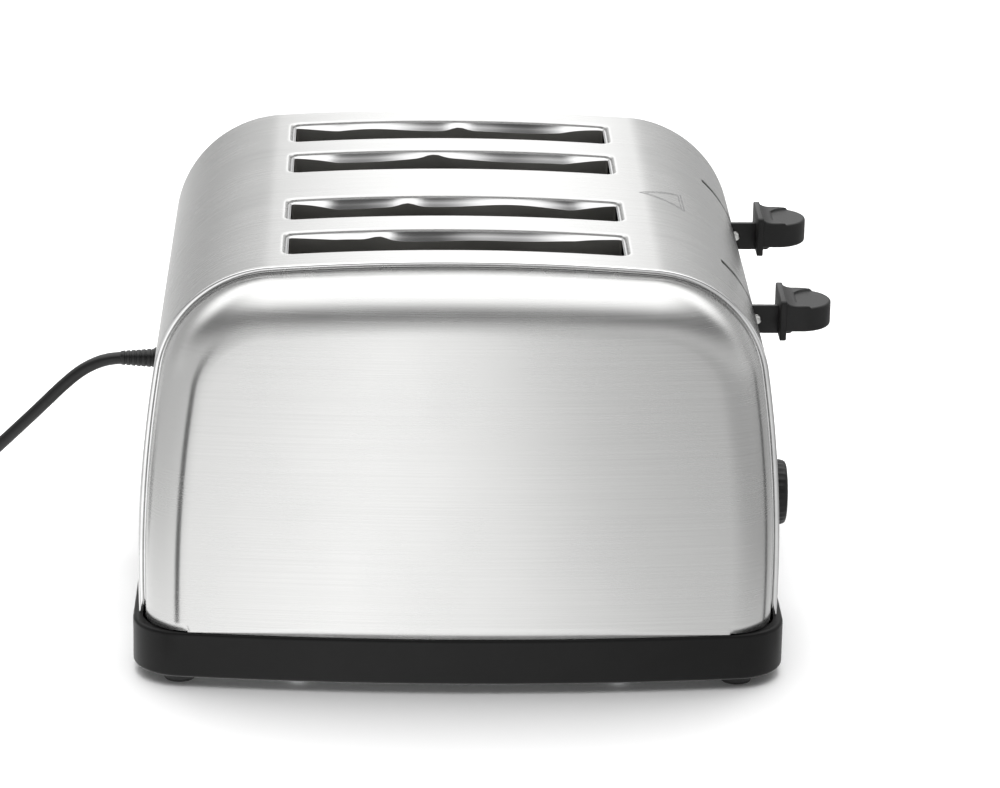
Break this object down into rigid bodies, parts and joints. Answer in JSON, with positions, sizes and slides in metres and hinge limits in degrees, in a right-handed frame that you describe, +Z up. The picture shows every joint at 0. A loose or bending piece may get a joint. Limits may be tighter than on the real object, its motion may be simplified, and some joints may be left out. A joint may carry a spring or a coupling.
{
  "type": "pop up toaster",
  "caption": "Long-slot pop-up toaster with a bent steel wrapper, dished side panels, black base, levers, dials and a coiled mains lead.",
  "frame": {"origin": "middle of the toaster outline without its lead, on the surface the feet stand on", "axes": "+Z up; +X towards the levers and dials, along the toast slots; +Y across the slots towards the far side panel"},
  "size_m": [0.5336, 0.2988, 0.1846],
  "materials": {
    "brushed_steel": "brushed",
    "polished_trim": "polished",
    "black_plastic": "satin",
    "plated_sheet": "galvanised",
    "zinc_screw": "zinc plated",
    "rubber": "matte",
    "bright_shield": "bright",
    "mica": "pressed mica",
    "heating_ribbon": "oxidised",
    "guard_wire": "drawn wire",
    "magnet": "taped winding",
    "circuit_board": "solder masked",
    "black_knob": "satin",
    "black_arm": "black coated",
    "rivet_steel": "polished",
    "cord_pvc": "satin",
    "tie": "matte",
    "plug_pins": "nickel plated"
  },
  "bodies": {
    "housing": {"wrapper_shell": "brushed_steel", "base_frame": "black_plastic", "bottom_plate": "plated_sheet", "bottom_screws": "zinc_screw", "feet": "rubber", "end_plate_cord": "plated_sheet", "end_plate_lever": "plated_sheet", "slot_collar_1": "polished_trim", "slot_collar_2": "polished_trim", "slot_collar_3": "polished_trim", "slot_collar_4": "polished_trim", "side_panel_near": "brushed_steel", "trim_ring_near": "polished_trim", "guide_rod_near": "plated_sheet", "heat_shields_near": "bright_shield", "heater_cards_near": "mica", "heater_ribbons_near": "heating_ribbon", "bread_guards_near": "guard_wire", "electromagnet_near": "magnet", "control_board_near": "circuit_board", "side_panel_far": "brushed_steel", "trim_ring_far": "polished_trim", "guide_rod_far": "plated_sheet", "heat_shields_far": "bright_shield", "heater_cards_far": "mica", "heater_ribbons_far": "heating_ribbon", "bread_guards_far": "guard_wire", "electromagnet_far": "magnet", "control_board_far": "circuit_board", "cord_gland": "black_plastic", "cord": "cord_pvc", "cord_coil": "cord_pvc", "cord_tie": "tie", "plug_body": "cord_pvc", "plug_pins": "plug_pins"},
    "carriage_near": {"bread_racks_near": "guard_wire", "sled_near": "plated_sheet", "lever_arm_near": "black_arm", "lever_rivet_near": "rivet_steel", "lever_knob_near": "black_knob", "carriage_spring_near": "guard_wire"},
    "dial_near": {"dial_near": "black_knob"},
    "button_cancel_near": {"button_cancel_near": "black_knob"},
    "button_defrost_near": {"button_defrost_near": "black_knob"},
    "button_reheat_near": {"button_reheat_near": "black_knob"},
    "crumb_tray_near": {"crumb_tray_near": "bright_shield"},
    "carriage_far": {"bread_racks_far": "guard_wire", "sled_far": "plated_sheet", "lever_arm_far": "black_arm", "lever_rivet_far": "rivet_steel", "lever_knob_far": "black_knob", "carriage_spring_far": "guard_wire"},
    "dial_far": {"dial_far": "black_knob"},
    "button_cancel_far": {"button_cancel_far": "black_knob"},
    "button_defrost_far": {"button_defrost_far": "black_knob"},
    "button_reheat_far": {"button_reheat_far": "black_knob"},
    "crumb_tray_far": {"crumb_tray_far": "bright_shield"}
  },
  "joints": [
    {"name": "carriage_slide_near", "type": "slide", "parent": "housing", "child": "carriage_near", "axis": [0, 0, 1], "range_m": [-0.0562, 0.012], "stiffness_N_per_m": 160, "springref_m": 0.005, "deforming": ["carriage_spring_near"]},
    {"name": "dial_turn_near", "type": "hinge", "parent": "housing", "child": "dial_near", "pos_m": [0.1313, -0.0615, 0.0607], "axis": [-1, 0, 0], "range_deg": [0, 270]},
    {"name": "button_press_cancel_near", "type": "slide", "parent": "housing", "child": "button_cancel_near", "axis": [-1, 0, 0], "range_m": [0, 0.002], "stiffness_N_per_m": 400},
    {"name": "button_press_defrost_near", "type": "slide", "parent": "housing", "child": "button_defrost_near", "axis": [-1, 0, 0], "range_m": [0, 0.002], "stiffness_N_per_m": 400},
    {"name": "button_press_reheat_near", "type": "slide", "parent": "housing", "child": "button_reheat_near", "axis": [-1, 0, 0], "range_m": [0, 0.002], "stiffness_N_per_m": 400},
    {"name": "crumb_tray_slide_near", "type": "slide", "parent": "housing", "child": "crumb_tray_near", "axis": [-1, 0, 0], "range_m": [0, 0.11]},
    {"name": "carriage_slide_far", "type": "slide", "parent": "housing", "child": "carriage_far", "axis": [0, 0, 1], "range_m": [-0.0562, 0.012], "stiffness_N_per_m": 160, "springref_m": 0.005, "deforming": ["carriage_spring_far"]},
    {"name": "dial_turn_far", "type": "hinge", "parent": "housing", "child": "dial_far", "pos_m": [0.1313, 0.0615, 0.0607], "axis": [-1, 0, 0], "range_deg": [0, 270]},
    {"name": "button_press_cancel_far", "type": "slide", "parent": "housing", "child": "button_cancel_far", "axis": [-1, 0, 0], "range_m": [0, 0.002], "stiffness_N_per_m": 400},
    {"name": "button_press_defrost_far", "type": "slide", "parent": "housing", "child": "button_defrost_far", "axis": [-1, 0, 0], "range_m": [0, 0.002], "stiffness_N_per_m": 400},
    {"name": "button_press_reheat_far", "type": "slide", "parent": "housing", "child": "button_reheat_far", "axis": [-1, 0, 0], "range_m": [0, 0.002], "stiffness_N_per_m": 400},
    {"name": "crumb_tray_slide_far", "type": "slide", "parent": "housing", "child": "crumb_tray_far", "axis": [-1, 0, 0], "range_m": [0, 0.11]}
  ]
}
